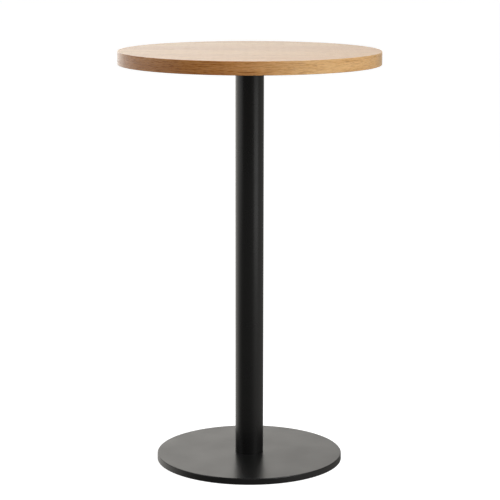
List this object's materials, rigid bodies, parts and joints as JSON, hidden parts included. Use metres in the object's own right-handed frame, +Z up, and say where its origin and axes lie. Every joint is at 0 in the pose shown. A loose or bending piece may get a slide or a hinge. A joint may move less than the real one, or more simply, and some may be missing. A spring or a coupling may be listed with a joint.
{
  "type": "bar table",
  "caption": "Round bar-height table: oak-veneered board on a black tube column and a weighted flat disc base with levelling glides.",
  "frame": {"origin": "on the floor, below the middle of the column", "axes": "+Z up along the column, +X to the right and -Y towards the viewer of the picture; the grain of the top runs along X"},
  "size_m": [0.7, 0.7, 1.118],
  "materials": {
    "oak_face": "satin clear lacquer on oak veneer, grain along X",
    "oak_edge": "satin clear lacquer on oak edge strip, grain around the edge",
    "oak_backing": "thin sealed veneer",
    "chipboard": "raw pressed chips",
    "black_column": "satin black powder coat",
    "black_base": "satin black powder coat",
    "black_plate": "black powder coat",
    "ballast_iron": "sand cast, dipped in black primer",
    "zinc_hardware": "bright zinc plate",
    "turned_steel": "turned",
    "stem_steel": "bright zinc plate",
    "foot_plastic": "moulded polyamide",
    "sole_rubber": "soft moulded sole"
  },
  "bodies": {
    "root": {"core_board": "chipboard", "face_veneer": "oak_face", "backing_veneer": "oak_backing", "edge_band": "oak_edge", "mounting_plate": "black_plate", "plate_locating_ring": "black_plate", "plate_weld_nut": "zinc_hardware", "top_screws": "zinc_hardware", "column_tube": "black_column", "tie_rod": "zinc_hardware", "centring_disc": "turned_steel", "base_cover": "black_base", "ballast_disc": "ballast_iron", "tie_washer": "zinc_hardware", "tie_nut": "zinc_hardware"},
    "glide_foot_1": {"glide_foot_1": "foot_plastic", "glide_sole_1": "sole_rubber"},
    "glide_stem_1": {"glide_stem_1": "stem_steel"},
    "glide_foot_2": {"glide_foot_2": "foot_plastic", "glide_sole_2": "sole_rubber"},
    "glide_stem_2": {"glide_stem_2": "stem_steel"},
    "glide_foot_3": {"glide_foot_3": "foot_plastic", "glide_sole_3": "sole_rubber"},
    "glide_stem_3": {"glide_stem_3": "stem_steel"},
    "glide_foot_4": {"glide_foot_4": "foot_plastic", "glide_sole_4": "sole_rubber"},
    "glide_stem_4": {"glide_stem_4": "stem_steel"}
  },
  "joints": [
    {"name": "glide_1_height", "type": "slide", "parent": "root", "child": "glide_foot_1", "axis": [0, 0, -1], "range_m": [0, 0.00375]},
    {"name": "glide_1_turn", "type": "hinge", "parent": "glide_foot_1", "child": "glide_stem_1", "pos_m": [0.15203, 0.15203, 0], "axis": [0, 0, -1], "range_deg": [0, 1080]},
    {"name": "glide_2_height", "type": "slide", "parent": "root", "child": "glide_foot_2", "axis": [0, 0, -1], "range_m": [0, 0.00375]},
    {"name": "glide_2_turn", "type": "hinge", "parent": "glide_foot_2", "child": "glide_stem_2", "pos_m": [-0.15203, 0.15203, 0], "axis": [0, 0, -1], "range_deg": [0, 1080]},
    {"name": "glide_3_height", "type": "slide", "parent": "root", "child": "glide_foot_3", "axis": [0, 0, -1], "range_m": [0, 0.00375]},
    {"name": "glide_3_turn", "type": "hinge", "parent": "glide_foot_3", "child": "glide_stem_3", "pos_m": [-0.15203, -0.15203, 0], "axis": [0, 0, -1], "range_deg": [0, 1080]},
    {"name": "glide_4_height", "type": "slide", "parent": "root", "child": "glide_foot_4", "axis": [0, 0, -1], "range_m": [0, 0.00375]},
    {"name": "glide_4_turn", "type": "hinge", "parent": "glide_foot_4", "child": "glide_stem_4", "pos_m": [0.15203, -0.15203, 0], "axis": [0, 0, -1], "range_deg": [0, 1080]}
  ],
  "couplings": [
    {"joint": "glide_1_turn", "follows": "glide_1_height", "rad_per_m": 5026.5},
    {"joint": "glide_2_turn", "follows": "glide_2_height", "rad_per_m": 5026.5},
    {"joint": "glide_3_turn", "follows": "glide_3_height", "rad_per_m": 5026.5},
    {"joint": "glide_4_turn", "follows": "glide_4_height", "rad_per_m": 5026.5}
  ]
}
